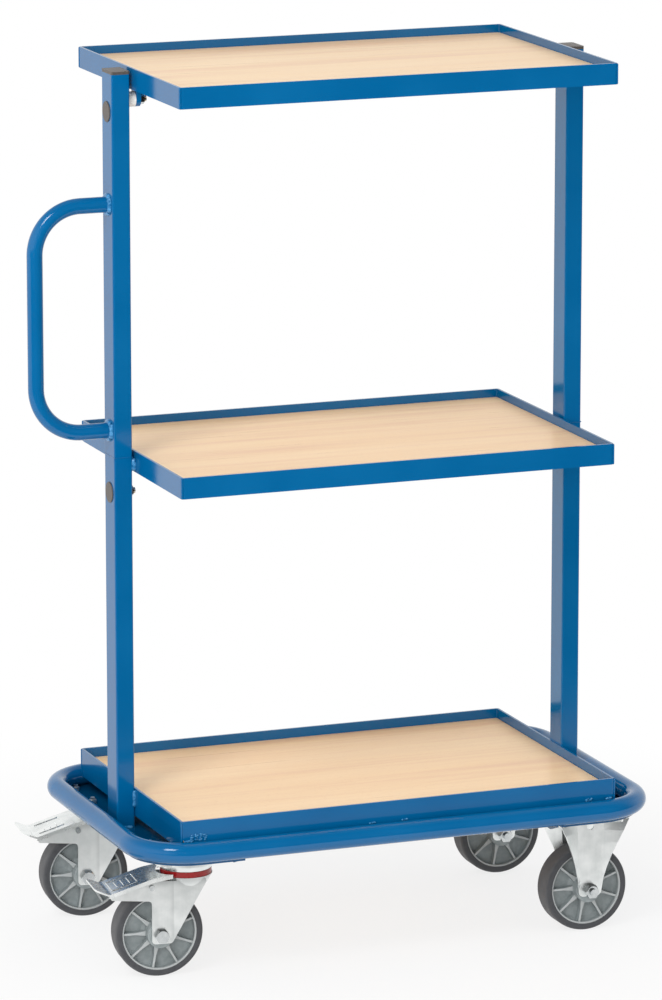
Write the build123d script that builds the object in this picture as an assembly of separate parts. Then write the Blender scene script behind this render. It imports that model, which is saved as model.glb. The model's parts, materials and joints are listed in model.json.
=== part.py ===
from build123d import *
import os
from math import cos, radians, sin, sqrt, tan

# Shelf trolley with a lower tray, two upper shelves, a push handle and four castors.
# Lengths are millimetres, angles are degrees. The pieces are built about the point on
# the floor under the middle of the shelves, with the handle at -X and up along +Z.

# Middle and top shelf: a frame of angle section with a board lying in it
shelf_length = 606.0
shelf_width = 398.0
rail_height = 28.0
rail_wall = 3.0
rail_ledge = 28.0
rail_inner_corner = 1.5
board_thickness = 14.0
board_play = 0.8

# Lower tray, deeper and wider than the shelves
tray_width = 405.0
tray_rail_height = 38.0
tray_board_thickness = 22.0
tray_above_ring_axis = 1.2

# Steps between the rims of the tray and the shelves
lower_to_middle = 456.0
middle_to_top = 506.0

# Posts of rectangular tube, joined just under the middle rim
post_depth = 25.0
post_width = 40.0
post_wall = 2.0
post_inner_corner = 0.5
post_to_shelf = 4.5
joint_below_rim = 7.0
post_below_rim = 7.0
insert_play = 0.2
insert_wall = 2.0
insert_corner = 1.5
insert_below_joint = 76.0
insert_above_joint = 94.0
cap_height = 4.0
cap_stem = 12.0
spacer_side_margin = 3.0
spacer_end_margin = 2.0

# Plugged holes in the outer faces of the posts
plug_hole = 25.0
plug_head = 27.5
plug_head_height = 1.5
plug_edge = 0.8
plug_barrel = 6.0
plug_barrel_wall = 1.5
plug_play = 0.1
plug_below_joint = 49.0
plug_below_post_top = 50.0

# Push handle of round tube on the left post
handle_tube = 21.0
handle_wall = 2.0
handle_reach = 100.5
handle_height = 300.0
handle_above_joint = 34.0
handle_bend = 62.0

# Pivot of the top shelf
lug_drop = 14.5
lug_inset = 8.0
lug_thickness = 6.5
lug_width = 20.0
tilt_spacer_diameter = 20.0
tilt_play = 0.1

# Base ring of round tube and the folded plates under its ends
ring_tube = 28.0
ring_wall = 2.0
ring_end_gap = 11.0
ring_corner = 74.0
ring_vent = 6.0
plate_wall = 3.0
plate_margin = 6.5
plate_lip = 15.0
plate_lip_inset = 2.5
lip_corner_length = 20.0
lip_corner_height = 7.5

# Castors, each with its outermost bolt set just inside a bend of the ring
bolt_to_ring = 3.3
bolt_bearing = 48.6
swivel_rest = -6.0
castor_trail = 39.5
bolt_pitch_x = 76.0
bolt_to_cheek = 1.0
top_plate_thickness = 4.0
top_plate_edge_x = 14.5
top_plate_edge_y = 8.5
top_plate_corner = 6.0

# Swivel head
wheel_headroom = 14.0
crown_thickness = 4.0
crown_radius = 35.0
crown_depth = 12.0
seal_radius = 34.0
seal_wall = 4.0
seal_height = 7.5
head_gap = 0.5
cup_radius = 36.0
cup_height = 14.0
cup_hollow = 6.0
race_inner_radius = 15.0
race_outer_radius = 26.0
race_gap = 0.15
king_pin_diameter = 14.0
king_pin_head = 24.0
king_pin_head_height = 5.0

# Wheels
wheel_diameter = 118.0
wheel_width = 33.0
wheel_side_gap = 9.5
tyre_shoulder = 5.0
rim_diameter = 100.0
rim_wall = 2.2
rim_inset = 1.0
rim_lip_edge = 0.8
hub_diameter = 36.0
hub_play = 1.0
web_thickness = 5.0
web_fillet = 6.0
rib_count = 9
rib_root = 6.5
rib_waist = 2.8
rib_waist_radius = 31.0
rib_inset = 3.0
wheel_clearance = 3.5

# Forks and brackets of pressed sheet
cheek_wall = 3.0
cheek_lead = 25.0
cheek_lead_corner = 6.0
foot_ahead = 14.0
foot_below = 11.0
foot_radius = 5.0
cheek_behind = 13.0
horn_root_above = 47.5
horn_root_radius = 5.0
horn_length = 54.5
horn_tip = 6.0
horn_tip_radius = 2.0
bracket_top_half = 50.0
bracket_top_web = 20.0
bracket_foot_half = 16.5
bracket_foot_web = 14.0
bracket_foot_below = 8.0
bracket_foot_radius = 7.0
bracket_flare = 1.5
bracket_flare_steps = 6
bracket_lean = 0.6
bracket_lean_limit = 14.0
bracket_hole = 11.0
bracket_hole_drop = 9.5
cut_past = 1.0

# Foot brake
pin_above_wheel = 7.0
pin_diameter = 5.0
pin_head = 7.5
pin_head_height = 2.0
pedal_inner_slope = 8.5
pedal_outer_slope = 17.0
pedal_bend_radius = 90.0
pedal_above_pin = 12.5
pedal_wall = 2.5
pedal_inner_length = 29.0
pedal_to_seal = 6.0
pedal_outer_length = 57.0
pedal_toe_length = 19.0
pedal_toe_rise = 8.0
pedal_toe_bend = 9.0
pedal_toe_corner = 9.0
pedal_flange = 5.5
pedal_flange_wall = 2.0
pedal_side_gap = 0.5
pedal_under_gap = 0.8
ear_wall = 2.5
ear_radius = 6.0
shoe_start = 6.0
shoe_length = 20.0
shoe_width = 24.0
shoe_gap = 1.3

# Fasteners
m6 = 6.0
m6_flats = 10.0
m6_head = 4.0
m6_nut = 5.0
m6_end = 3.0
m8 = 8.0
m8_flats = 13.0
m8_head = 5.3
m8_nut = 6.5
m8_end = 3.0
m10 = 10.0
m10_flats = 17.0
m10_head = 6.8
m10_nut = 10.0
m10_end = 4.0
hex_face_margin = 0.4
hex_chamfer = 30.0
sleeve_diameter = 15.0
bolt_play = 0.2
running_fit = 0.05

# Plan positions
shelf_end = shelf_length / 2
post_inner = shelf_end + post_to_shelf
post_outer = post_inner + post_depth
tray_length = 2 * post_inner
ring_half_length = post_outer + ring_end_gap + ring_tube / 2
ring_half_width = tray_width / 2 + ring_tube / 2
grip_x = -post_outer - handle_reach

# Castor cross-section and places
cheek_in = wheel_width / 2 + wheel_side_gap
cheek_out = cheek_in + cheek_wall
bolt_pitch_y = 2 * (cheek_out + bolt_to_cheek + m6_flats / 2)
top_plate_x = bolt_pitch_x + 2 * top_plate_edge_x
top_plate_y = bolt_pitch_y + 2 * top_plate_edge_y
bolt_from_bend = ring_corner - ring_tube / 2 - bolt_to_ring
castor_x = ring_half_length - ring_corner + bolt_from_bend * cos(radians(bolt_bearing)) - bolt_pitch_x / 2
castor_y = ring_half_width - ring_corner + bolt_from_bend * sin(radians(bolt_bearing)) - bolt_pitch_y / 2

# Levels from the floor up
axle_z = wheel_diameter / 2
crown_under = wheel_diameter + wheel_headroom
crown_top = crown_under + crown_thickness
cup_bottom = crown_top + seal_height + head_gap
cup_top = cup_bottom + cup_height
castor_top = cup_top + top_plate_thickness
plate_top = castor_top + plate_wall
ring_z = plate_top + ring_tube / 2
tray_bottom = ring_z + tray_above_ring_axis
tray_rim = tray_bottom + tray_rail_height
middle_rim = tray_rim + lower_to_middle
top_rim = middle_rim + middle_to_top
joint_z = middle_rim - joint_below_rim
post_top = top_rim - post_below_rim
lower_plug_z = joint_z - plug_below_joint
upper_plug_z = post_top - plug_below_post_top
tilt_z = top_rim - rail_height - lug_drop

# Swivel castor, measured from its king pin with the wheel trailing towards -X
axle_x = -castor_trail
pin_x = axle_x - cheek_behind
pin_z = wheel_diameter + pin_above_wheel
pedal_end_x = pin_x - pedal_outer_length
pedal_half_width = cheek_out + pedal_side_gap + pedal_flange_wall

UP = (Align.CENTER, Align.CENTER, Align.MIN)
TURN_TO_X = Rot(0, 90, 0)
TURN_TO_Y = Rot(-90, 0, 0)


def block(x_range, y_range, z_range):
    """Box between two limits on each axis."""
    spans = (x_range, y_range, z_range)
    middle = [(low + high) / 2 for low, high in spans]
    size = [high - low for low, high in spans]
    return Pos(*middle) * Box(*size)


def rod(radius, start, end):
    """Upright cylinder between two levels."""
    return Pos(0, 0, start) * Cylinder(radius, end - start, align=UP)


def upright(outline, y_start, y_end):
    """Plate whose outline is drawn in X and Z, between two Y positions."""
    return Pos(0, y_end, 0) * Rot(90, 0, 0) * extrude(outline, y_end - y_start)


def filleted(*corners):
    """Closed outline through corners given as x, z, corner radius."""
    points = [(x, z) for x, z, radius in corners]
    radii = [radius for x, z, radius in corners]
    return make_face(FilletPolyline(*points, radius=radii, close=True))


def both_ends(piece):
    """A piece of the right end and its mirror image at the left end."""
    return [piece, mirror(piece, Plane.YZ)]


def hexagon(flats, height):
    """Hexagonal prism with the corners of its upper face chamfered round."""
    prism = extrude(RegularPolygon(flats / 2, 6, major_radius=False), height)
    face_radius = flats / 2 - hex_face_margin
    return prism & Cone(face_radius + height / tan(radians(hex_chamfer)), face_radius, height, align=UP)


def hex_bolt(diameter, flats, head, length):
    """Bolt along +Z with the underside of its head at zero."""
    return Rot(180, 0, 0) * hexagon(flats, head) + rod(diameter / 2, 0, length)


def hex_nut(diameter, flats, height):
    return hexagon(flats, height) - rod(diameter / 2, 0, height)


def tube_along(path, diameter, wall):
    """Round tube swept along a path."""
    start = Plane(origin=path @ 0, z_dir=path % 0)
    outside = sweep(start * Circle(diameter / 2), path=path)
    inside = sweep(start * Circle(diameter / 2 - wall), path=path)
    return outside - inside


# Shelves and tray

def angle_frame(length, width, height, base):
    """Rectangular frame of angle section, its ledge turned in at the bottom."""
    outside = RectangleRounded(length, width, rail_inner_corner + rail_wall)
    well = RectangleRounded(length - 2 * rail_wall, width - 2 * rail_wall, rail_inner_corner)
    window = Rectangle(length - 2 * rail_ledge, width - 2 * rail_ledge)
    frame = extrude(outside, height)
    frame -= Pos(0, 0, rail_wall) * extrude(well, height)
    frame -= extrude(window, rail_wall)
    return Pos(0, 0, base) * frame


def tray_frame():
    """Frame of the lower tray, its lower corners cut back round the bends of the ring."""
    frame = angle_frame(tray_length, tray_width, tray_rail_height, tray_bottom)
    inside_ring = RectangleRounded(
        2 * ring_half_length - ring_tube, 2 * ring_half_width - ring_tube, ring_corner - ring_tube / 2
    )
    corners = Rectangle(tray_length, tray_width) - inside_ring
    return frame - Pos(0, 0, tray_bottom) * extrude(corners, ring_tube / 2 - tray_above_ring_axis)


def board(length, width, thickness, frame_base):
    """Board lying on the ledge of its frame."""
    inset = 2 * (rail_wall + board_play)
    outline = RectangleRounded(length - inset, width - inset, rail_inner_corner)
    return Pos(0, 0, frame_base + rail_wall) * extrude(outline, thickness)


# Posts

def rectangular_tube(depth, width, wall, inner_corner, bottom, top):
    """Upright tube on the axis of the right post."""
    outside = RectangleRounded(depth, width, inner_corner + wall)
    bore = RectangleRounded(depth - 2 * wall, width - 2 * wall, inner_corner)
    return Pos(post_inner + post_depth / 2, 0, bottom) * extrude(outside - bore, top - bottom)


def cross_hole(diameter, x_range, z):
    """Cutter for a hole along X through the walls between two X positions."""
    return Pos(x_range[0], 0, z) * TURN_TO_X * rod(diameter / 2, 0, x_range[1] - x_range[0])


def post(bottom, top, plug_z, bolt_z):
    """Post tube with a plugged hole outside and a bolt hole inside."""
    middle = post_inner + post_depth / 2
    tube = rectangular_tube(post_depth, post_width, post_wall, post_inner_corner, bottom, top)
    tube -= cross_hole(plug_hole, (middle, post_outer + post_wall), plug_z)
    tube -= cross_hole(m8 + 2 * bolt_play, (post_inner - post_wall, middle), bolt_z)
    return tube


def insert_face():
    """X position of the insert's inner face that takes the joint bolt's head."""
    return post_inner + post_wall + insert_play + insert_wall


def post_insert():
    """Inner tube that carries the joint, with the bolt and plug holes through it."""
    middle = post_inner + post_depth / 2
    depth = post_depth - 2 * (post_wall + insert_play)
    width = post_width - 2 * (post_wall + insert_play)
    bottom = joint_z - insert_below_joint
    top = joint_z + insert_above_joint
    tube = rectangular_tube(depth, width, insert_wall, insert_corner, bottom, top)
    tube -= cross_hole(plug_hole, (middle, post_outer), lower_plug_z)
    tube -= cross_hole(m8 + 2 * bolt_play, (post_inner, middle), lower_plug_z)
    return tube


def post_cap():
    """Plastic cap with a stem inside the top of the post."""
    depth = post_depth - 2 * (post_wall + insert_play)
    width = post_width - 2 * (post_wall + insert_play)
    head = extrude(RectangleRounded(post_depth, post_width, post_inner_corner + post_wall), cap_height)
    stem = Pos(0, 0, -cap_stem) * extrude(RectangleRounded(depth, width, insert_corner), cap_stem)
    return Pos(post_inner + post_depth / 2, 0, post_top) * (head + stem)


def hole_plug(z):
    """Plastic plug with a flat head outside the post and a hollow barrel in the hole."""
    head = fillet(rod(plug_head / 2, 0, plug_head_height).edges().group_by(Axis.Z)[-1], plug_edge)
    barrel_radius = plug_hole / 2 - plug_play
    barrel = rod(barrel_radius, -plug_barrel, 0) - rod(barrel_radius - plug_barrel_wall, -plug_barrel, 0)
    return Pos(post_outer, 0, z) * TURN_TO_X * (head + barrel)


def joint_bolt():
    """Bolt from inside the insert, pointing in under the middle shelf."""
    head_face = insert_face()
    length = head_face - post_inner + m8_nut + m8_end
    bolt = hex_bolt(m8, m8_flats, m8_head, length)
    return Pos(head_face, 0, lower_plug_z) * Rot(0, -90, 0) * bolt


def joint_nut():
    return Pos(post_inner, 0, lower_plug_z) * Rot(0, -90, 0) * hex_nut(m8, m8_flats, m8_nut)


def middle_spacer():
    """Flat bar that fills the gap between the middle shelf and the lower post."""
    half_width = post_width / 2 - spacer_side_margin
    bottom = middle_rim - rail_height + spacer_end_margin
    top = joint_z - spacer_end_margin
    return block((shelf_end, post_inner), (-half_width, half_width), (bottom, top))


# Pivot of the top shelf

lug_outer = shelf_end - lug_inset
lug_inner = lug_outer - lug_thickness


def tilt_lug():
    """Rounded lug under the end rail, turning on the pivot bolt."""
    top = top_rim - rail_height
    radius = lug_width / 2
    arm = block((lug_inner, lug_outer), (-radius, radius), (tilt_z, top))
    eye = Pos(lug_inner, 0, tilt_z) * TURN_TO_X * rod(radius, 0, lug_thickness)
    return arm + eye - cross_hole(m8 + 2 * running_fit, (lug_inner, lug_outer), tilt_z)


def tilt_bolt():
    """Pivot bolt with its head inside the post."""
    head_face = post_inner + post_wall
    length = head_face - lug_inner + tilt_play + m8_nut + m8_end
    bolt = hex_bolt(m8, m8_flats, m8_head, length)
    return Pos(head_face, 0, tilt_z) * Rot(0, -90, 0) * bolt


def tilt_spacer():
    start = lug_outer + tilt_play
    length = post_inner - start
    ring = rod(tilt_spacer_diameter / 2, 0, length) - rod(m8 / 2 + bolt_play, 0, length)
    return Pos(start, 0, tilt_z) * TURN_TO_X * ring


def tilt_nut():
    return Pos(lug_inner - tilt_play, 0, tilt_z) * Rot(0, -90, 0) * hex_nut(m8, m8_flats, m8_nut)


# Handle and base

def push_handle():
    low = joint_z + handle_above_joint
    high = low + handle_height
    corners = [(-post_outer, 0, low), (grip_x, 0, low), (grip_x, 0, high), (-post_outer, 0, high)]
    return tube_along(FilletPolyline(*corners, radius=handle_bend), handle_tube, handle_wall)


def base_ring():
    """Closed ring of tube with a small vent hole underneath."""
    path = RectangleRounded(2 * ring_half_length, 2 * ring_half_width, ring_corner).wire()
    ring = Pos(0, 0, ring_z) * tube_along(path, ring_tube, ring_wall)
    vent = Pos(0, ring_half_width, 0) * rod(ring_vent / 2, plate_top - ring_wall, ring_z)
    return ring - vent


def bolt_places():
    """Places of the four bolts of the castor at the front right."""
    across = bolt_pitch_x / 2
    along = bolt_pitch_y / 2
    return [(castor_x + i * across, -castor_y + j * along) for i in (-1, 1) for j in (-1, 1)]


def castor_plate():
    """Folded plate under the right end of the ring, with a lip along its inner edge."""
    inner = castor_x - top_plate_x / 2 - plate_margin
    ring_area = RectangleRounded(2 * ring_half_length, 2 * ring_half_width, ring_corner)
    end_area = Pos((inner + ring_half_length) / 2, 0) * Rectangle(ring_half_length - inner, 2 * ring_half_width)
    plate = Pos(0, 0, castor_top) * extrude(ring_area & end_area, plate_wall)
    lip_half = ring_half_width - ring_tube / 2 - plate_lip_inset
    lip_bottom = plate_top - plate_lip
    lip_side = [
        (lip_half, plate_top),
        (lip_half, lip_bottom + lip_corner_height),
        (lip_half - lip_corner_length, lip_bottom),
    ]
    lip_mirrored = [(-y, z) for y, z in reversed(lip_side)]
    lip = make_face(Polyline(*lip_side, *lip_mirrored, close=True))
    plate += Pos(inner, 0, 0) * extrude(Plane.YZ * lip, plate_wall)
    for x, y in bolt_places():
        for side in (-1, 1):
            plate -= Pos(x, side * y, 0) * rod(m6 / 2 + bolt_play, castor_top, plate_top)
    return plate


# Castors

def top_plate():
    """Bolt-on plate of a castor, about the castor's own axis."""
    plate = extrude(RectangleRounded(top_plate_x, top_plate_y, top_plate_corner), top_plate_thickness)
    for i in (-1, 1):
        for j in (-1, 1):
            place = Pos(i * bolt_pitch_x / 2, j * bolt_pitch_y / 2, 0)
            plate -= place * rod(m6 / 2 + bolt_play, 0, top_plate_thickness)
    return Pos(0, 0, cup_top) * plate


def swivel_plate():
    return top_plate() - rod(king_pin_diameter / 2 + running_fit, cup_top, castor_top)


def swivel_cup():
    """Flared cup under the top plate, hollow underneath for the ball race."""
    roof = cup_bottom + cup_hollow
    cup = Pos(0, 0, cup_bottom) * Cone(seal_radius, cup_radius, cup_hollow, align=UP)
    cup += rod(cup_radius, roof, cup_top)
    cup -= rod(seal_radius - seal_wall, cup_bottom, roof)
    return cup - rod(king_pin_diameter / 2 + running_fit, roof, cup_top)


def swivel_race():
    bottom = crown_top + race_gap
    top = cup_bottom + cup_hollow
    return rod(race_outer_radius, bottom, top) - rod(race_inner_radius, bottom, top)


def king_pin():
    head_top = crown_under - race_gap
    head = rod(king_pin_head / 2, head_top - king_pin_head_height, head_top)
    return head + rod(king_pin_diameter / 2, head_top, castor_top)


def seal_ring():
    top = crown_top + seal_height
    return rod(seal_radius, crown_top, top) - rod(seal_radius - seal_wall, crown_top, top)


def pedal_top(x):
    """Level of the pedal plate's upper face, which bends down outside the pin."""
    slope = pedal_inner_slope if x > pin_x else pedal_outer_slope
    return pin_z + pedal_above_pin + (x - pin_x) * tan(radians(slope))


def pedal_under(x):
    """Level of the pedal plate's lower face."""
    return pedal_top(x) - pedal_wall


def cheek_outline():
    """Side of the swivel fork with the horn that carries the pedal."""
    horn_end = pin_x - horn_length
    horn_top = pedal_under(horn_end) - pedal_under_gap
    crown_back = -sqrt(crown_radius**2 - cheek_out**2)
    return filleted(
        (cheek_lead, crown_top, cheek_lead_corner),
        (axle_x + foot_ahead, axle_z - foot_below, foot_radius),
        (pin_x, axle_z - foot_below, foot_radius),
        (pin_x, axle_z + horn_root_above, horn_root_radius),
        (horn_end, horn_top - horn_tip, horn_tip_radius),
        (horn_end, horn_top, horn_tip_radius),
        (pin_x, pedal_under(pin_x) - pedal_under_gap, 0),
        (crown_back, crown_under, 0),
        (crown_back, crown_top, 0),
    )


def axle_rod(radius, half_length):
    """Cylinder along Y on the axle of a castor, at its own height and no trail."""
    return Pos(0, -half_length, axle_z) * TURN_TO_Y * rod(radius, 0, 2 * half_length)


def fork():
    """Pressed fork with a dished crown, two cheeks and a horn."""
    dish_bottom = crown_top - crown_depth
    crown = Pos(0, 0, dish_bottom) * Cone(cheek_out, crown_radius, crown_depth, align=UP)
    hollow_depth = crown_under - dish_bottom
    crown -= Pos(0, 0, dish_bottom) * Cone(cheek_in, crown_radius - cheek_wall, hollow_depth, align=UP)
    crown -= Pos(axle_x, 0, 0) * axle_rod(wheel_diameter / 2 + wheel_clearance, cheek_in)
    cheek = cheek_outline()
    body = crown + upright(cheek, -cheek_out, -cheek_in) + upright(cheek, cheek_in, cheek_out)
    body -= Pos(axle_x, 0, 0) * axle_rod(m10 / 2 + bolt_play, cheek_out)
    body -= pin_rod(pin_diameter / 2 + running_fit, cheek_out)
    return body - rod(king_pin_diameter / 2 + running_fit, crown_under, crown_top)


def pin_rod(radius, half_length):
    """Cylinder along Y on the pedal's pin."""
    return Pos(pin_x, -half_length, pin_z) * TURN_TO_Y * rod(radius, 0, 2 * half_length)


def pedal_pin():
    """Rivet through both cheeks, with a head on each side."""
    heads = pin_rod(pin_head / 2, cheek_out + pin_head_height) - pin_rod(pin_head / 2, cheek_out)
    return pin_rod(pin_diameter / 2, cheek_out) + heads


def pedal_profile(wall_top, wall_bottom):
    """Side outline of the pedal plate between two offsets below its upper face."""
    inner_x = pin_x + pedal_inner_length
    toe_x = pedal_end_x - pedal_toe_length
    upper = [
        (inner_x, pedal_top(inner_x), 0),
        (pin_x, pedal_top(pin_x), pedal_bend_radius),
        (pedal_end_x, pedal_top(pedal_end_x), pedal_toe_bend),
        (toe_x, pedal_top(pedal_end_x) + pedal_toe_rise, 0),
    ]
    top_line = [(x, z - wall_top, radius) for x, z, radius in upper]
    bottom_line = [(x, z - wall_bottom, radius) for x, z, radius in reversed(upper)]
    return filleted(*top_line, *bottom_line)


def brake_pedal():
    """Folded pedal: bent plate with an upturned toe, side flanges and ears on the pin."""
    plate = upright(pedal_profile(0, pedal_wall), -pedal_half_width, pedal_half_width)
    toe_x = pedal_end_x - pedal_toe_length
    plan_length = pin_x + pedal_inner_length - toe_x
    plan = RectangleRounded(plan_length, 2 * pedal_half_width, pedal_toe_corner)
    square = Pos(plan_length / 4, 0) * Rectangle(plan_length / 2, 2 * pedal_half_width)
    plate &= Pos(toe_x + plan_length / 2, 0, 0) * extrude(plan + square, castor_top)
    sides = pedal_profile(0, pedal_flange)
    flange = upright(sides, -pedal_half_width, -pedal_half_width + pedal_flange_wall)
    flange += upright(sides, pedal_half_width - pedal_flange_wall, pedal_half_width)
    flange &= block((pedal_end_x, 0), (-pedal_half_width, pedal_half_width), (0, castor_top))
    ear_out = cheek_in - pedal_side_gap
    ear_in = ear_out - ear_wall
    left = pin_x - ear_radius
    right = pin_x + ear_radius
    web = make_face(
        Polyline((left, pin_z), (right, pin_z), (right, pedal_under(right)), (left, pedal_under(left)), close=True)
    )
    ears = upright(web, -ear_out, ear_out) + pin_rod(ear_radius, ear_out)
    ears -= block((left, right), (-ear_in, ear_in), (0, castor_top))
    pedal = plate + flange + ears - pin_rod(pin_diameter / 2 + running_fit, cheek_in)
    return pedal - rod(seal_radius + pedal_to_seal, 0, castor_top)


def brake_shoe():
    """Block under the pedal, hollowed to the tyre's round."""
    right = pin_x - shoe_start
    left = right - shoe_length
    side = make_face(
        Polyline((left, axle_z), (right, axle_z), (right, pedal_under(right)), (left, pedal_under(left)), close=True)
    )
    shoe = upright(side, -shoe_width / 2, shoe_width / 2)
    return shoe - Pos(axle_x, 0, 0) * axle_rod(wheel_diameter / 2 + shoe_gap, cheek_in)


def bracket_cheek():
    """Front cheek of the fixed bracket: a flat web whose side edges flare out and forward."""
    sections = []
    for step in range(-1, bracket_flare_steps + 1):
        share = max(step, 0) / bracket_flare_steps
        level = axle_z - bracket_foot_below if step < 0 else axle_z + (cup_top - axle_z) * share
        edge = bracket_foot_half + (bracket_top_half - bracket_foot_half) * share**bracket_flare
        web = bracket_foot_web + (bracket_top_web - bracket_foot_web) * share
        forward = min((edge - bracket_foot_half) * bracket_lean, bracket_lean_limit)
        outer = [(-edge, -cheek_out - forward), (-web, -cheek_out), (web, -cheek_out), (edge, -cheek_out - forward)]
        inner = [(x, y + cheek_wall) for x, y in reversed(outer)]
        sections.append(Pos(0, 0, level) * make_face(Polyline(*outer, *inner, close=True)))
    return loft(sections, ruled=True)


def foot_corner():
    """Cutter that rounds the right lower corner of the fixed bracket's cheeks."""
    foot = axle_z - bracket_foot_below
    radius = bracket_foot_radius
    round_centre = Pos(bracket_foot_half - radius, foot + radius)
    square = Pos(bracket_foot_half, foot + (radius - cut_past) / 2)
    outline = square * Rectangle(2 * radius, radius + cut_past) - round_centre * Circle(radius)
    return upright(outline, -cheek_out - cut_past, cheek_out + cut_past)


def fixed_bracket():
    """Bolt-on plate with two flared cheeks, notched round the bolt heads, and a hole in each."""
    cheek = bracket_cheek()
    body = cheek + mirror(cheek, Plane.XZ)
    for corner in both_ends(foot_corner()):
        body -= corner
    head_radius = m6_flats / 2 / cos(radians(30)) + bolt_to_cheek
    notch = rod(head_radius, cup_top - m6_head - bolt_to_cheek, cup_top)
    for i in (-1, 1):
        for j in (-1, 1):
            body -= Pos(i * bolt_pitch_x / 2, j * bolt_pitch_y / 2, 0) * notch
    hole = Pos(0, -cheek_out, cup_top - bracket_hole_drop) * TURN_TO_Y
    body -= hole * rod(bracket_hole / 2, 0, 2 * cheek_out)
    body -= axle_rod(m10 / 2 + bolt_play, cheek_out)
    return top_plate() + body


def axle_bolt():
    """Axle bolt with its head at the front."""
    length = 2 * cheek_out + m10_nut + m10_end
    return Pos(0, -cheek_out, axle_z) * TURN_TO_Y * hex_bolt(m10, m10_flats, m10_head, length)


def axle_nut():
    return Pos(0, cheek_out, axle_z) * TURN_TO_Y * hex_nut(m10, m10_flats, m10_nut)


def axle_sleeve():
    """Spacer tube between the cheeks, on which the hub turns."""
    return axle_rod(sleeve_diameter / 2, cheek_in) - axle_rod(m10 / 2 + running_fit, cheek_in)


def tyre():
    tread = axle_rod(wheel_diameter / 2, wheel_width / 2)
    tread = fillet(tread.edges().filter_by(GeomType.CIRCLE), tyre_shoulder)
    return tread - axle_rod(rim_diameter / 2, wheel_width / 2)


def rim_section():
    """Half section of the wheel centre: distance from the axle, then along it."""
    hub = hub_diameter / 2
    hub_half = cheek_in - hub_play
    bore = sleeve_diameter / 2 + running_fit
    band = rim_diameter / 2
    band_half = wheel_width / 2 - rim_inset
    web_half = web_thickness / 2
    front = [
        (bore, -hub_half, 0),
        (hub, -hub_half, rim_lip_edge),
        (hub, -web_half, web_fillet),
        (band - rim_wall, -web_half, web_fillet),
        (band - rim_wall, -band_half, rim_lip_edge),
        (band, -band_half, 0),
    ]
    back = [(radius, -along, corner) for radius, along, corner in reversed(front)]
    return filleted(*front, *back)


def rim_rib():
    """Rib along -X from the hub to the band, wide at the hub."""
    half = wheel_width / 2 - rim_inset - rib_inset
    root_x = -hub_diameter / 2
    tip_x = rim_wall / 2 - rim_diameter / 2
    upper = [(root_x, rib_root / 2), (-rib_waist_radius, rib_waist / 2), (tip_x, rib_waist / 2)]
    lower = [(x, -z) for x, z in reversed(upper)]
    bore_x = -sleeve_diameter / 2 - running_fit
    root = [(bore_x, -rib_root / 2), (bore_x, rib_root / 2)]
    return upright(make_face(Polyline(*upper, *lower, *root, close=True)), -half, half)


def rim():
    """Moulded wheel centre: hub, dished web, ribs and the band that carries the tyre."""
    centre = revolve(rim_section(), Axis.Y)
    for k in range(rib_count):
        centre += Rot(0, k * 360 / rib_count, 0) * rim_rib()
    return Pos(0, 0, axle_z) * centre - axle_rod(sleeve_diameter / 2 + running_fit, cheek_in)


def castor_bolt():
    """Bolt up through a castor's plate and the folded plate."""
    length = plate_top - cup_top + m6_nut + m6_end
    return Pos(0, 0, cup_top) * hex_bolt(m6, m6_flats, m6_head, length)


def castor_nut():
    return Pos(0, 0, plate_top) * hex_nut(m6, m6_flats, m6_nut)


def at_all_bolts(piece):
    """Copies of a piece at every bolt of the four castors."""
    return [
        Pos(end * x, side * y, 0) * piece
        for end in (-1, 1)
        for side in (-1, 1)
        for x, y in bolt_places()
    ]


# Nodes that belong to the frame and the top shelf

middle_base = middle_rim - rail_height
top_base = top_rim - rail_height
right_upper_post = post(joint_z, post_top, upper_plug_z, tilt_z)
right_lower_post = post(plate_top, joint_z, lower_plug_z, lower_plug_z)

nodes = {
    "base_ring": [base_ring()],
    "castor_plates": both_ends(castor_plate()),
    "lower_tray_frame": [tray_frame()],
    "lower_tray_board": [board(tray_length, tray_width, tray_board_thickness, tray_bottom)],
    "lower_post_right": [right_lower_post],
    "lower_post_left": [mirror(right_lower_post, Plane.YZ)],
    "upper_post_right": [right_upper_post],
    "upper_post_left": [mirror(right_upper_post, Plane.YZ)],
    "post_inserts": both_ends(post_insert()),
    "post_caps": both_ends(post_cap()),
    "hole_plugs": both_ends(hole_plug(lower_plug_z)) + both_ends(hole_plug(upper_plug_z)),
    "joint_bolts": both_ends(joint_bolt()),
    "joint_nuts": both_ends(joint_nut()),
    "middle_shelf_frame": [angle_frame(shelf_length, shelf_width, rail_height, middle_base)],
    "middle_shelf_board": [board(shelf_length, shelf_width, board_thickness, middle_base)],
    "middle_shelf_spacers": both_ends(middle_spacer()),
    "push_handle": [push_handle()],
    "top_shelf_frame": [angle_frame(shelf_length, shelf_width, rail_height, top_base)],
    "top_shelf_board": [board(shelf_length, shelf_width, board_thickness, top_base)],
    "tilt_lugs": both_ends(tilt_lug()),
    "tilt_bolts": both_ends(tilt_bolt()),
    "tilt_spacers": both_ends(tilt_spacer()),
    "tilt_nuts": both_ends(tilt_nut()),
    "castor_bolts": at_all_bolts(castor_bolt()),
    "castor_nuts": at_all_bolts(castor_nut()),
}

# Castors: swivelling at the handle end, fixed at the other end

swivel_places = {"front": Pos(-castor_x, -castor_y, 0), "back": Pos(-castor_x, castor_y, 0)}
fixed_places = {"front": Pos(castor_x, -castor_y, 0), "back": Pos(castor_x, castor_y, 0)}

head_pieces = {
    "castor_top_plates": swivel_plate(),
    "swivel_cups": swivel_cup(),
    "swivel_races": swivel_race(),
    "king_pins": king_pin(),
}
for name, piece in head_pieces.items():
    nodes[name] = [place * piece for place in swivel_places.values()]

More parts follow.
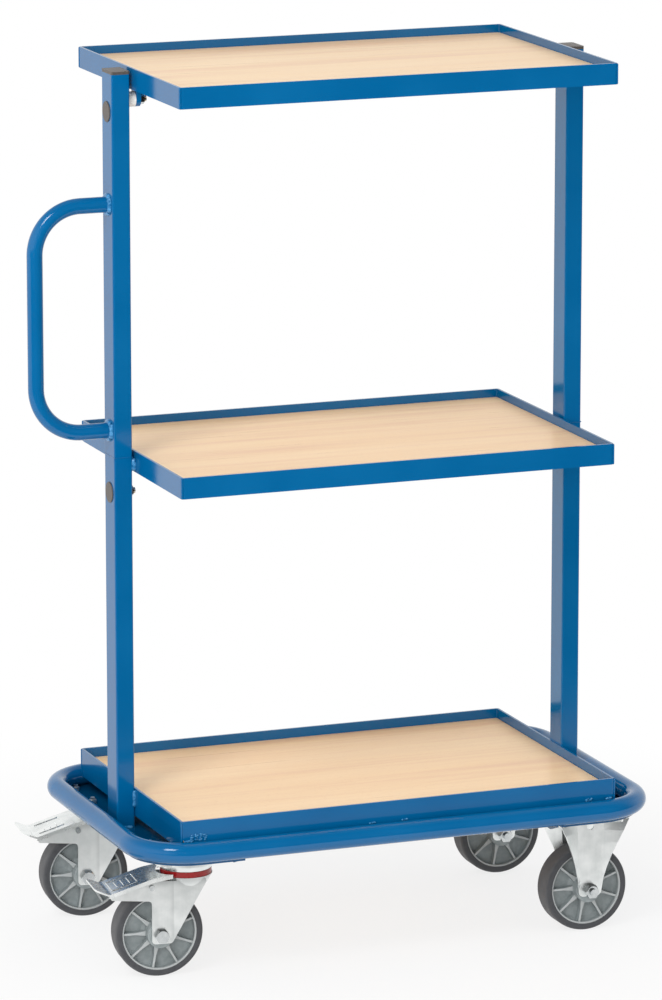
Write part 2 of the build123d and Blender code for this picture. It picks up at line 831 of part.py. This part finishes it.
bracket_pieces = {
    "fixed_brackets": fixed_bracket(),
    "fixed_axle_bolts": mirror(axle_bolt(), Plane.XZ),
    "fixed_axle_nuts": mirror(axle_nut(), Plane.XZ),
    "fixed_axle_sleeves": axle_sleeve(),
}
for name, piece in bracket_pieces.items():
    nodes[name] = [place * piece for place in fixed_places.values()]

wheel_pieces = {"tyre": tyre(), "rim": rim()}
to_axle = Pos(axle_x, 0, 0)
swivel_pieces = {
    "fork": fork(),
    "seal_ring": seal_ring(),
    "pedal_pin": pedal_pin(),
    "brake_pedal": brake_pedal(),
    "brake_shoe": brake_shoe(),
    "axle_bolt": to_axle * axle_bolt(),
    "axle_nut": to_axle * axle_nut(),
    "axle_sleeve": to_axle * axle_sleeve(),
    "tyre_left": to_axle * wheel_pieces["tyre"],
    "rim_left": to_axle * wheel_pieces["rim"],
}
for row, place in swivel_places.items():
    for name, piece in swivel_pieces.items():
        nodes[f"{name}_{row}"] = [place * Rot(0, 0, swivel_rest) * piece]
for row, place in fixed_places.items():
    for name, piece in wheel_pieces.items():
        nodes[f"{name}_right_{row}"] = [place * piece]

# Origin on the floor under the middle of the overall box
right_reach = ring_half_length + ring_tube / 2
left_reach = handle_tube / 2 - grip_x
to_frame = Pos((left_reach - right_reach) / 2, 0, 0)

os.makedirs("parts", exist_ok=True)
for name, pieces in nodes.items():
    solids = [to_frame * solid for piece in pieces for solid in piece.solids()]
    export_step(Compound(children=solids), f"parts/{name}.step")
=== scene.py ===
import json
import math

import bmesh
import bpy
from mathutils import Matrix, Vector

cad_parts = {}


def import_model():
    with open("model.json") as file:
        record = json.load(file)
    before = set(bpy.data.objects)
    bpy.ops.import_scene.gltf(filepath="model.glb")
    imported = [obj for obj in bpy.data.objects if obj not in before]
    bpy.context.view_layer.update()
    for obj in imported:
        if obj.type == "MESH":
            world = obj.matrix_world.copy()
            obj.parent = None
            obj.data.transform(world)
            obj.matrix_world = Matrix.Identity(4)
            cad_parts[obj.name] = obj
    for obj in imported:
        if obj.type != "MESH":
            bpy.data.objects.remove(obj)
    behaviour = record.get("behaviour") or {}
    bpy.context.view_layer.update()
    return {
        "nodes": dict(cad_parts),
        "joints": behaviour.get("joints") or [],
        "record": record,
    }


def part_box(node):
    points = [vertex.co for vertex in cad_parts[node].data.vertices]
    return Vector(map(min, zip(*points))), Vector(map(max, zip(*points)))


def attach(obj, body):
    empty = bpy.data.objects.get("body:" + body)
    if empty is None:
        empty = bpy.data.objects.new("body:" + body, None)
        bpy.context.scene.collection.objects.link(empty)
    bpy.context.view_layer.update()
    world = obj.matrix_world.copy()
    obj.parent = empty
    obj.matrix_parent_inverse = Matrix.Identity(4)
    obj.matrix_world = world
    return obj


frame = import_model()

# Looks of the shelf trolley. Metres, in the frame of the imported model.

MM = 0.001
UP = Vector((0, 0, 1))
SIDES = ("left", "right")
ROWS = ("front", "back")
nodes_of_frame = frame["nodes"]
joints = {joint["name"]: joint for joint in frame["joints"]}
slot_of_node = {part["node"]: part["material_slot"] for part in frame["record"]["subparts"]}


def joint_place(name):
    """Point and axis of a joint at rest."""
    joint = joints[name]
    return Vector(joint["pos_m"]), Vector(joint["axis"])


# Node tree helpers

NOISE_LOW = 0.3
NOISE_HIGH = 0.7


class Tree:
    """Short calls for building one material's node tree."""

    def __init__(self, name):
        self.material = bpy.data.materials.new(name)
        self.material.use_nodes = True
        self.nodes = self.material.node_tree.nodes
        self.links = self.material.node_tree.links
        self.shader = self.nodes["Principled BSDF"]

    def add(self, kind, **settings):
        """New node with some of its settings."""
        node = self.nodes.new(kind)
        for key, value in settings.items():
            setattr(node, key, value)
        return node

    def join(self, source, target):
        """Link from an output to an input."""
        self.links.new(source, target)

    def feed(self, socket, value):
        """Sets a socket to a number or joins it to another socket."""
        if isinstance(value, bpy.types.NodeSocket):
            self.join(value, socket)
        else:
            socket.default_value = value

    def place(self, scale=(1, 1, 1)):
        """Object coordinates in metres, stretched by scale."""
        coordinates = self.add("ShaderNodeTexCoord")
        mapping = self.add("ShaderNodeMapping")
        mapping.inputs["Scale"].default_value = scale
        self.join(coordinates.outputs["Object"], mapping.inputs["Vector"])
        return mapping.outputs["Vector"]

    def noise(self, vector, scale, detail=3, roughness=0.5, distortion=0.0):
        """Noise over a vector, nearly all of it between NOISE_LOW and NOISE_HIGH."""
        node = self.add("ShaderNodeTexNoise")
        self.join(vector, node.inputs["Vector"])
        node.inputs["Scale"].default_value = scale
        node.inputs["Detail"].default_value = detail
        node.inputs["Roughness"].default_value = roughness
        node.inputs["Distortion"].default_value = distortion
        return node.outputs["Fac"]

    def math(self, operation, *values):
        """One sum over numbers and sockets."""
        node = self.add("ShaderNodeMath", operation=operation)
        for socket, value in zip(node.inputs, values):
            self.feed(socket, value)
        return node.outputs[0]

    def weigh(self, first, second, share):
        """Sum of two sockets, the first by its share and the second by the rest."""
        first_part = self.math("MULTIPLY", first, share)
        second_part = self.math("MULTIPLY", second, 1 - share)
        return self.math("ADD", first_part, second_part)

    def range(self, value, low, high, to_low, to_high, smooth=False):
        """Maps low to to_low and high to to_high, and clamps outside them."""
        node = self.add("ShaderNodeMapRange", clamp=True)
        if smooth:
            node.interpolation_type = "SMOOTHSTEP"
        for socket, number in zip(node.inputs, (value, low, high, to_low, to_high)):
            self.feed(socket, number)
        return node.outputs["Result"]

    def spread(self, noise, to_low, to_high):
        """Maps a noise to a range of values."""
        return self.range(noise, NOISE_LOW, NOISE_HIGH, to_low, to_high)

    def mix(self, factor, first, second):
        """Colour between two colours, each of them a socket or three numbers."""
        node = self.add("ShaderNodeMix", data_type="RGBA")
        self.feed(node.inputs["Factor"], factor)
        colour_inputs = [socket for socket in node.inputs if socket.type == "RGBA"]
        for socket, colour in zip(colour_inputs, (first, second)):
            self.feed(socket, colour if isinstance(colour, bpy.types.NodeSocket) else (*colour, 1))
        return next(socket for socket in node.outputs if socket.type == "RGBA")

    def bump(self, height, strength, distance):
        """Bump on the shader's normal."""
        node = self.add("ShaderNodeBump")
        node.inputs["Strength"].default_value = strength
        node.inputs["Distance"].default_value = distance
        self.join(height, node.inputs["Height"])
        self.join(node.outputs["Normal"], self.shader.inputs["Normal"])

    def set(self, **values):
        """Shader inputs by name, with underscores for spaces."""
        for key, value in values.items():
            self.feed(self.shader.inputs[key.replace("_", " ")], value)


def srgb(red, green, blue):
    """Linear colour of an 8-bit screen colour."""
    def linear(level):
        level /= 255
        return level / 12.92 if level <= 0.04045 else ((level + 0.055) / 1.055) ** 2.4
    return linear(red), linear(green), linear(blue)


def offset_from(t, start):
    """Vector from a start to the shaded point."""
    coordinates = t.add("ShaderNodeTexCoord")
    offset = t.add("ShaderNodeVectorMath", operation="SUBTRACT")
    t.join(coordinates.outputs["Object"], offset.inputs[0])
    offset.inputs[1].default_value = start
    return offset.outputs["Vector"]


def distance_along(t, start, direction):
    """Distance of the shaded point from a start, along a direction."""
    along = t.add("ShaderNodeVectorMath", operation="DOT_PRODUCT")
    t.join(offset_from(t, start), along.inputs[0])
    along.inputs[1].default_value = direction
    return along.outputs["Value"]


def wheel_space(t, centre, axis):
    """Distance along a wheel's axle from its middle, and distance from the axle."""
    length = t.add("ShaderNodeVectorMath", operation="LENGTH")
    t.join(offset_from(t, centre), length.inputs[0])
    side = t.math("ABSOLUTE", distance_along(t, centre, axis))
    length_squared = t.math("POWER", length.outputs["Value"], 2.0)
    side_squared = t.math("POWER", side, 2.0)
    radius_squared = t.math("SUBTRACT", length_squared, side_squared)
    radius = t.math("SQRT", t.math("MAXIMUM", radius_squared, 0.0))
    return side, radius


# Materials

COAT_IOR = 1.5
WOOD_IOR = 1.36


def blue_paint(name, dark, light, cloud_scale=9):
    """Glossy powder coat with a fine ripple and slight clouding."""
    t = Tree(name)
    cloud = t.noise(t.place(), cloud_scale, detail=2)
    ripple = t.noise(t.place(), scale=420, detail=2)
    t.set(Base_Color=t.mix(t.spread(cloud, 0.0, 1.0), dark, light))
    t.set(Roughness=t.spread(cloud, 0.1, 0.15), IOR=COAT_IOR)
    t.bump(ripple, strength=0.1, distance=0.2 * MM)
    return t.material


def beech_board():
    """Beech face with long streaks, a pinkish flush, short darker flecks and pores along X."""
    plain = srgb(246, 209, 162)
    pale = srgb(253, 222, 178)
    pinkish = srgb(230, 180, 142)
    brown = srgb(218, 168, 120)
    t = Tree("beech_board")
    wide = t.noise(t.place((0.9, 9, 9)), scale=2.2, detail=3, roughness=0.55, distortion=0.6)
    streak = t.noise(t.place((1.6, 70, 70)), scale=2.0, detail=4, roughness=0.6)
    flush = t.noise(t.place((0.7, 14, 14)), scale=2.6, detail=4, roughness=0.6, distortion=0.4)
    fleck = t.noise(t.place((150, 900, 900)), scale=1.0, detail=1)
    pore = t.noise(t.place((55, 1500, 1500)), scale=1.0, detail=1)
    tone = t.weigh(wide, streak, share=0.55)
    face = t.mix(t.range(tone, 0.36, 0.66, 0.0, 1.0), plain, pale)
    face = t.mix(t.range(flush, 0.46, 0.72, 0.0, 0.5, smooth=True), face, pinkish)
    face = t.mix(t.range(fleck, 0.62, 0.74, 0.0, 0.35), face, brown)
    t.set(Base_Color=face)
    t.set(Roughness=t.spread(streak, 0.27, 0.36), IOR=WOOD_IOR)
    t.bump(pore, strength=0.1, distance=0.2 * MM)
    return t.material


def fork_shade(t, face, axle, ahead, crown):
    """Colour of a fork's face with painted shade at its pressed crease and a painted shadow just
    under its crown.
    """
    crease_start = 9 * MM
    crease_deepest = 15.5 * MM
    crease_end = 17.5 * MM
    crease_shade_grey = (0.34, 0.36, 0.36)
    seal_start = -14 * MM
    seal_end = -2 * MM
    seal_shadow_grey = (0.42, 0.44, 0.44)
    # Painted shade along the pressed crease and a painted shadow under the crown, mixed into the face
    # colour.
    along = distance_along(t, axle, ahead)
    deepening = t.range(along, crease_start, crease_deepest, 0.0, 0.22, smooth=True)
    fading = t.range(along, crease_deepest, crease_end, 1.0, 0.0, smooth=True)
    face = t.mix(t.math("MULTIPLY", deepening, fading), face, crease_shade_grey)
    upward = distance_along(t, (0, 0, crown), UP)
    under_seal_shadow = t.range(upward, seal_start, seal_end, 0.0, 0.6, smooth=True)
    return t.mix(under_seal_shadow, face, seal_shadow_grey)


def zinc_steel(name, dark, light, low, high, fork=None):
    """Bright zinc plate with a faint rolled grain and clouding, of low to high roughness; on a fork,
    with painted shade at its crease and under its crown.
    """
    t = Tree(name)
    cloud = t.noise(t.place(), scale=45, detail=3, roughness=0.6)
    grain = t.noise(t.place((500, 500, 18)), scale=1.0, detail=3, roughness=0.6)
    tone = t.weigh(cloud, grain, share=0.85)
    face = t.mix(t.range(tone, 0.35, 0.65, 0.0, 1.0), dark, light)
    if fork:
        face = fork_shade(t, face, *fork)
    t.set(Base_Color=face)
    t.set(Metallic=1.0)
    t.set(Roughness=t.spread(tone, high, low))
    t.bump(grain, strength=0.05, distance=0.2 * MM)
    return t.material


def wheel_rubber(name, centre, axis):
    """Solid grey rubber with a paler tread."""
    wall_end = 56.5 * MM
    tread_start = 58.8 * MM
    t = Tree(name)
    radius = wheel_space(t, centre, axis)[1]
    cloud = t.noise(t.place(), scale=90, detail=4, roughness=0.6)
    grit = t.noise(t.place(), scale=900, detail=2)
    wall = t.mix(t.spread(cloud, 0.0, 1.0), srgb(62, 63, 66), srgb(74, 75, 78))
    tread = t.range(radius, wall_end, tread_start, 0.0, 1.0)
    t.set(Base_Color=t.mix(tread, wall, srgb(88, 88, 90)))
    t.set(Roughness=t.spread(cloud, 0.58, 0.72), IOR=COAT_IOR)
    t.bump(grit, strength=0.2, distance=0.3 * MM)
    return t.material


def wheel_rim(name, centre, axis):
    """Grey moulding with a painted highlight on its raised outer edges and painted shade on its
    recessed faces.
    """
    sunk_end = 11.9 * MM
    raised_start = 12.4 * MM
    hub_end = 18.3 * MM
    spokes_start = 19 * MM
    t = Tree(name)
    side, radius = wheel_space(t, centre, axis)
    cloud = t.noise(t.place(), scale=120, detail=3, roughness=0.6)
    grit = t.noise(t.place(), scale=700, detail=2)
    # Painted highlight on the raised outer edges past the hub, and painted shade on the recessed
    # faces between them.
    raised = t.range(side, sunk_end, raised_start, 0.0, 1.0)
    past_hub = t.range(radius, hub_end, spokes_start, 0.0, 1.0)
    rim_edge_highlight = t.math("MULTIPLY", raised, past_hub)
    recess_shade = t.mix(t.spread(cloud, 0.0, 1.0), srgb(132, 140, 141), srgb(150, 157, 158))
    t.set(Base_Color=t.mix(rim_edge_highlight, recess_shade, srgb(174, 178, 178)))
    t.set(Roughness=t.spread(cloud, 0.4, 0.52), IOR=COAT_IOR)
    t.bump(grit, strength=0.12, distance=0.2 * MM)
    return t.material


def moulded_plastic(name, dark, light, low, high):
    """Moulded plastic with a fine grained skin, of low to high roughness."""
    t = Tree(name)
    cloud = t.noise(t.place(), scale=70, detail=3)
    grit = t.noise(t.place(), scale=1300, detail=2)
    t.set(Base_Color=t.mix(t.spread(cloud, 0.0, 1.0), dark, light))
    t.set(Roughness=t.spread(cloud, low, high), IOR=COAT_IOR)
    t.bump(grit, strength=0.15, distance=0.2 * MM)
    return t.material


paint = blue_paint("blue_paint", srgb(0, 91, 144), srgb(1, 97, 151))
# Castor plates: the blue paint darkened as painted shade, for the shadow they sit in.
shaded_plate_paint = blue_paint("shaded_plate_paint", srgb(0, 66, 106), srgb(0, 80, 126))
# Weld beads: the blue paint flecked finely with pale blue, as painted glints of light on the beads.
weld_glint_paint = blue_paint("weld_glint_paint", srgb(0, 88, 140), srgb(84, 156, 206), cloud_scale=260)
plate_zinc = ((0.82, 0.85, 0.84), (0.94, 0.96, 0.95))
fork_roughness = (0.3, 0.42)
pedal_zinc = zinc_steel("pedal_zinc", *plate_zinc, 0.22, 0.32)
bolt_zinc = zinc_steel("bolt_zinc", (0.5, 0.53, 0.54), (0.68, 0.7, 0.7), 0.16, 0.26)
red = (srgb(134, 14, 16), srgb(152, 22, 24))
black = (srgb(36, 36, 38), srgb(48, 48, 50))
brown_grey = (srgb(78, 71, 66), srgb(96, 88, 81))
white = (srgb(224, 225, 222), srgb(238, 238, 235))
finishes = {
    "blue_paint": paint,
    "beech_board": beech_board(),
    "zinc_steel": zinc_steel("zinc_steel", *plate_zinc, *fork_roughness),
    "shoe_rubber": moulded_plastic("shoe_rubber", *black, 0.6, 0.75),
    "red_seal": moulded_plastic("red_seal", *red, 0.2, 0.3),
    "grey_plastic": moulded_plastic("grey_plastic", *brown_grey, 0.38, 0.5),
    "white_plastic": moulded_plastic("white_plastic", *white, 0.25, 0.38),
}
own_finish = {"castor_plates": shaded_plate_paint}
for side in SIDES:
    for row in ROWS:
        centre, axis = joint_place(f"{side}_wheel_{row}")
        for kind, finish in (("tyre", wheel_rubber), ("rim", wheel_rim)):
            name = f"{kind}_{side}_{row}"
            own_finish[name] = finish(name, centre, axis)
for row in ROWS:
    centre, axis = joint_place(f"left_wheel_{row}")
    fork = f"fork_{row}"
    # Where each fork's painted shade lies: its axle, the direction ahead and the height of its crown.
    shade = (centre, axis.cross(UP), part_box(f"fork_{row}")[1].z)
    own_finish[fork] = zinc_steel(fork, *plate_zinc, *fork_roughness, shade)
    own_finish[f"brake_pedal_{row}"] = pedal_zinc
    for name in ("axle_bolt", "axle_nut", "pedal_pin"):
        own_finish[f"{name}_{row}"] = bolt_zinc
for kind in ("fixed_axle", "tilt", "joint"):
    own_finish[f"{kind}_bolts"] = bolt_zinc
    own_finish[f"{kind}_nuts"] = bolt_zinc
for name, node in nodes_of_frame.items():
    finish = own_finish.get(name) or finishes[slot_of_node[name]]
    node.data.materials.clear()
    node.data.materials.append(finish)


# Weld beads, seams and pressed ribs

BAR_SIDES = 10
STEPS_IN_RIPPLE = 4
FEWEST_STEPS = 8
BLUNT_END = 0.12
BEAD_LEAST = 0.84
BEAD_RIPPLE = 0.16
BEAD_DRIFT = 0.05
DRIFT_RATE = 2.3

# Each bead's radius and the pitch of its ripple
HANDLE_BEAD = (4.2 * MM, 6.3 * MM)
FRAME_BEAD = (2.8 * MM, 4.2 * MM)
SPACER_BEAD = (4.6 * MM, 6.9 * MM)
SPATTER = (1.4 * MM, 2.4 * MM)
CORNER_SEAM = 1.2 * MM
POST_SEAM = 0.6 * MM
PEDAL_RIB = 0.8 * MM


def round_bar(bm, points, radius, pitch, closed):
    """Adds a round bar along a run of points, rippled where a pitch is given."""
    lengths = [0.0]
    for a, b in zip(points, points[1:]):
        lengths.append(lengths[-1] + (b - a).length)
    total = lengths[-1]
    step_length = (pitch or radius) / STEPS_IN_RIPPLE
    count = max(FEWEST_STEPS, int(total / step_length))
    rings = []
    for step in range(count if closed else count + 1):
        s = total * step / count
        k = max(i for i in range(len(points) - 1) if lengths[i] <= s + 1e-9)
        along = (points[k + 1] - points[k]).normalized()
        centre = points[k] + along * (s - lengths[k])
        across = along.orthogonal().normalized()
        other = along.cross(across)
        size = radius
        if pitch:
            ripple = abs(math.sin(math.pi * s / pitch))
            drift = math.sin(DRIFT_RATE * s / pitch)
            size *= BEAD_LEAST + BEAD_RIPPLE * ripple + BEAD_DRIFT * drift
        if not closed:
            from_end = min(s, total - s)
            size *= math.sqrt(min(1.0, BLUNT_END + from_end / radius))
        ring = []
        for j in range(BAR_SIDES):
            turn = 2 * math.pi * j / BAR_SIDES
            spoke = across * math.cos(turn) + other * math.sin(turn)
            ring.append(bm.verts.new(centre + size * spoke))
        rings.append(ring)
    pairs = list(zip(rings, rings[1:]))
    if closed:
        pairs.append((rings[-1], rings[0]))
    else:
        bm.faces.new(rings[0])
        bm.faces.new(list(reversed(rings[-1])))
    for first, second in pairs:
        for j in range(BAR_SIDES):
            k = (j + 1) % BAR_SIDES
            bm.faces.new((first[j], first[k], second[k], second[j]))


def bars(name, body, finish, slot, runs, radius, pitch=None, closed=False):
    """Piece made of round bars, one for each run of points."""
    bm = bmesh.new()
    for points in runs:
        round_bar(bm, [Vector(p) for p in points], radius, pitch, closed)
    bmesh.ops.recalc_face_normals(bm, faces=bm.faces)
    for face in bm.faces:
        face.smooth = True
    mesh = bpy.data.meshes.new(name)
    bm.to_mesh(mesh)
    bm.free()
    mesh.materials.append(finish)
    piece = bpy.data.objects.new(name, mesh)
    bpy.context.scene.collection.objects.link(piece)
    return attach(piece, body)


def handle_welds():
    """Ring of weld round each end of the handle."""
    corners = 48
    proud = 0.8 * MM
    handle_low, handle_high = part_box("push_handle")
    tube = handle_high.y
    face = handle_high.x
    reach = tube + proud
    turns = [2 * math.pi * k / corners for k in range(corners + 1)]
    runs = []
    for z in (handle_low.z + tube, handle_high.z - tube):
        runs.append([(face, reach * math.cos(w), z + reach * math.sin(w)) for w in turns])
    bars("handle_welds", "frame", weld_glint_paint, "blue_paint", runs, *HANDLE_BEAD, closed=True)


def frame_welds():
    """Beads from the posts to the lower tray, at the posts' feet and on the shelf's spacers."""
    proud = 1.0 * MM
    foot_start = 3 * MM
    foot_end = 22 * MM
    above_tray_foot = 12 * MM
    below_tray_top = 3 * MM
    shelf_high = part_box("middle_shelf_frame")[1]
    tray_low, tray_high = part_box("lower_tray_frame")
    post_low, post_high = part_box("lower_post_left")
    spacer_low, spacer_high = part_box("middle_shelf_spacers")
    middle = (tray_low.x + tray_high.x) / 2
    tray_half = tray_high.x - middle
    shelf_half = shelf_high.x - middle
    bead_low = tray_low.z + above_tray_foot
    bead_high = tray_high.z - below_tray_top
    runs = []
    spacer_runs = []
    for end in (-1, 1):
        spacer_x = middle + end * (shelf_half + tray_half) / 2
        tray_x = middle + end * (tray_half + proud)
        foot = [middle + end * (tray_half + reach) for reach in (foot_start, foot_end)]
        for side in (-1, 1):
            spacer_y = side * spacer_high.y
            post_y = side * (post_high.y + proud)
            foot_y = side * post_high.y
            spacer_runs.append([(spacer_x, spacer_y, z) for z in (spacer_low.z, spacer_high.z)])
            runs.append([(tray_x, post_y, z) for z in (bead_low, bead_high)])
            runs.append([(x, foot_y, post_low.z) for x in foot])
    bars("frame_welds", "frame", weld_glint_paint, "blue_paint", runs, *FRAME_BEAD)
    bars("spacer_welds", "frame", weld_glint_paint, "blue_paint", spacer_runs, *SPACER_BEAD)


def ring_tacks():
    """Small spatters of weld between the ring and the lower tray's long sides."""
    proud = 0.2 * MM
    above_ring_axis = 12 * MM
    # Steps that scatter the spatters evenly over a patch
    step_x = 0.7549
    step_z = 0.5698
    # Centre and width along X, height and number of spatters of each patch, in millimetres
    patches = (
        (-299, 7, 1, 6),
        (-282, 24, 9, 20),
        (-40, 8, 1, 3),
        (6, 8, 1, 3),
        (271, 10, 4, 5),
        (299, 7, 1, 6),
    )
    tray_low, tray_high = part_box("lower_tray_frame")
    ring_low, ring_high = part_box("base_ring")
    middle = (tray_low.x + tray_high.x) / 2
    lowest = (ring_low.z + ring_high.z) / 2 + above_ring_axis
    runs = []
    for side in (-1, 1):
        seam_y = side * (tray_high.y + proud)
        for centre, width, height, count in patches:
            for k in range(count):
                x = middle + (centre + width * (step_x * k % 1 - 0.5)) * MM
                z = lowest + height * (step_z * k % 1) * MM
                half = (1.4 + 0.5 * (k % 3)) * MM
                runs.append([(x - half, seam_y, z), (x + half, seam_y, z)])
    bars("ring_tacks", "frame", weld_glint_paint, "blue_paint", runs, *SPATTER)


def seams():
    """Ground welds down the outer corners of the trays, and the joint round each post."""
    inset = 0.8 * MM
    below_top = 0.4 * MM
    # Body and rail depth of each tray
    trays = (
        ("lower_tray_frame", "frame", 38 * MM),
        ("middle_shelf_frame", "frame", 28 * MM),
        ("top_shelf_frame", "top_shelf", 28 * MM),
    )
    for name, body, rail in trays:
        low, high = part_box(name)
        runs = []
        for x in (low.x + inset, high.x - inset):
            for y in (low.y + inset, high.y - inset):
                runs.append([(x, y, high.z - rail), (x, y, high.z - below_top)])
        bars(f"{name}_seams", body, paint, "blue_paint", runs, CORNER_SEAM)
    runs = []
    for place in SIDES:
        low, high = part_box(f"lower_post_{place}")
        corners = [(low.x, low.y), (high.x, low.y), (high.x, high.y), (low.x, high.y), (low.x, low.y)]
        runs.append([(x, y, high.z) for x, y in corners])
    bars("post_seams", "frame", paint, "blue_paint", runs, POST_SEAM, closed=True)


def pedal_ribs(row):
    """Pressed frame and cross ribs on the outer half of a pedal's plate."""
    slope = math.radians(17)
    plate_height = 12.5 * MM
    near = 18
    far = 53
    half = 19
    gaps = 4
    rib_half = half - 7
    pin, across = joint_place(f"brake_pedal_{row}")
    outward = across.cross(-UP)
    along = outward * math.cos(slope) - UP * math.sin(slope)
    over_pin = pin + UP * plate_height

    def spot(u, v):
        """Point on the plate, in millimetres outward from the pin and across."""
        return over_pin + along * (u * MM) + across * (v * MM)

    corners = ((near, -half), (far, -half), (far, half), (near, half), (near, -half))
    runs = [[spot(u, v) for u, v in corners]]
    for k in range(1, gaps):
        u = near + (far - near) * k / gaps
        runs.append([spot(u, -rib_half), spot(u, rib_half)])
    bars(f"pedal_ribs_{row}", f"pedal_{row}", pedal_zinc, "zinc_steel", runs, PEDAL_RIB)


handle_welds()
frame_welds()
ring_tacks()
seams()
for row in ROWS:
    pedal_ribs(row)


# Floor, light and camera

WHITE = (1, 1, 1, 1)
FLOOR_GREY = (0.86, 0.86, 0.86, 1)
SENSOR_WIDTH = 36


def floor():
    """Pale floor that goes white away from the trolley and is mirrored dark in front of it."""
    half = 40
    shadow_end = 0.5
    white_start = 1.1
    white_near = 0.8
    dark_end = -1.12
    bright_start = -0.68
    mirrored_dark = 0.01
    mesh = bpy.data.meshes.new("floor")
    corners = [(-half, -half, 0), (half, -half, 0), (half, half, 0), (-half, half, 0)]
    mesh.from_pydata(corners, [], [(0, 1, 2, 3)])
    piece = bpy.data.objects.new("floor", mesh)
    bpy.context.scene.collection.objects.link(piece)
    t = Tree("pale_floor")
    t.set(Base_Color=FLOOR_GREY, Roughness=0.9, Specular_IOR_Level=0.0)
    rays = t.add("ShaderNodeLightPath").outputs
    coordinates = t.add("ShaderNodeTexCoord")
    split = t.add("ShaderNodeSeparateXYZ")
    t.join(coordinates.outputs["Object"], split.inputs["Vector"])
    reach = t.add("ShaderNodeVectorMath", operation="LENGTH")
    t.join(coordinates.outputs["Object"], reach.inputs[0])
    whiteness = t.range(reach.outputs["Value"], shadow_end, white_start, white_near, 1.0, smooth=True)
    in_front = t.range(split.outputs["Y"], dark_end, bright_start, mirrored_dark, 1.0, smooth=True)
    mirrored = t.math("MAXIMUM", rays["Is Glossy Ray"], rays["Is Transmission Ray"])
    seen = t.math("MULTIPLY", rays["Is Camera Ray"], whiteness)
    glow = t.add("ShaderNodeEmission")
    glow.inputs["Color"].default_value = WHITE
    t.join(t.math("MAXIMUM", in_front, rays["Is Camera Ray"]), glow.inputs["Strength"])
    blend = t.add("ShaderNodeMixShader")
    t.join(t.math("MAXIMUM", seen, mirrored), blend.inputs["Fac"])
    t.join(t.shader.outputs["BSDF"], blend.inputs[1])
    t.join(glow.outputs["Emission"], blend.inputs[2])
    t.join(blend.outputs["Shader"], t.nodes["Material Output"].inputs["Surface"])
    mesh.materials.append(t.material)


def world(level):
    """White surround, mirrored bright behind and to the left and dim in front and overhead."""
    dim_in_front = 0.08
    dim_overhead = 0.3
    surround = bpy.data.worlds.new("studio")
    surround.use_nodes = True
    bpy.context.scene.world = surround
    nodes = surround.node_tree.nodes
    links = surround.node_tree.links

    def span(source, low, high, to_low, to_high):
        """Smooth step from to_low to to_high, either of them a number or a socket."""
        node = nodes.new("ShaderNodeMapRange")
        node.interpolation_type = "SMOOTHSTEP"
        links.new(source, node.inputs["Value"])
        ends = {"From Min": low, "From Max": high, "To Min": to_low, "To Max": to_high}
        for key, number in ends.items():
            if isinstance(number, bpy.types.NodeSocket):
                links.new(number, node.inputs[key])
            else:
                node.inputs[key].default_value = number
        return node.outputs["Result"]

    direction = nodes.new("ShaderNodeTexCoord")
    split = nodes.new("ShaderNodeSeparateXYZ")
    links.new(direction.outputs["Generated"], split.inputs["Vector"])
    in_front = span(split.outputs["Y"], -0.5, 0.2, dim_in_front, 1.0)
    around = span(split.outputs["X"], -0.9, -0.4, 1.0, in_front)
    overhead = span(split.outputs["Z"], 0.3, 0.85, 1.0, dim_overhead)
    mirrored = nodes.new("ShaderNodeMath")
    mirrored.operation = "MULTIPLY"
    links.new(around, mirrored.inputs[0])
    links.new(overhead, mirrored.inputs[1])
    rays = nodes.new("ShaderNodeLightPath").outputs
    glossy = span(rays["Is Glossy Ray"], 0, 1, level, mirrored.outputs[0])
    shown = span(rays["Is Camera Ray"], 0, 1, glossy, 1.0)
    back = nodes["Background"]
    back.inputs["Color"].default_value = WHITE
    links.new(shown, back.inputs["Strength"])


def lamp(name, place, target, size, watts):
    """Rectangular lamp that faces a target."""
    data = bpy.data.lights.new(name, "AREA")
    data.shape = "RECTANGLE"
    data.size, data.size_y = size
    data.energy = watts
    piece = bpy.data.objects.new(name, data)
    bpy.context.scene.collection.objects.link(piece)
    piece.location = place
    piece.rotation_mode = "QUATERNION"
    piece.rotation_quaternion = (Vector(target) - Vector(place)).to_track_quat("-Z", "Y")
    return piece


def camera(azimuth, elevation, target, distance, lens):
    """Camera at a distance from a target, by angles in degrees."""
    data = bpy.data.cameras.new("camera")
    data.lens = lens
    data.sensor_width = SENSOR_WIDTH
    piece = bpy.data.objects.new("camera", data)
    bpy.context.scene.collection.objects.link(piece)
    a = math.radians(azimuth)
    e = math.radians(elevation)
    back = Vector((math.sin(a) * math.cos(e), -math.cos(a) * math.cos(e), math.sin(e)))
    piece.location = Vector(target) + back * distance
    piece.rotation_mode = "QUATERNION"
    piece.rotation_quaternion = (-back).to_track_quat("-Z", "Y")
    bpy.context.scene.camera = piece


mid_height = (0, 0, 0.6)
camera(azimuth=-21.09, elevation=12.40, target=(0.0151, 0, 0.5829), distance=8.066, lens=217.75)
floor()
world(level=0.76)
lamp("key", place=(-2.9, -2.5, 4.3), target=mid_height, size=(1.5, 1.5), watts=82)
fill = lamp("fill", place=(-2.9, -4.2, 1.6), target=mid_height, size=(3.2, 2.4), watts=110)
fill.visible_glossy = False
bpy.context.scene.view_settings.view_transform = "Standard"
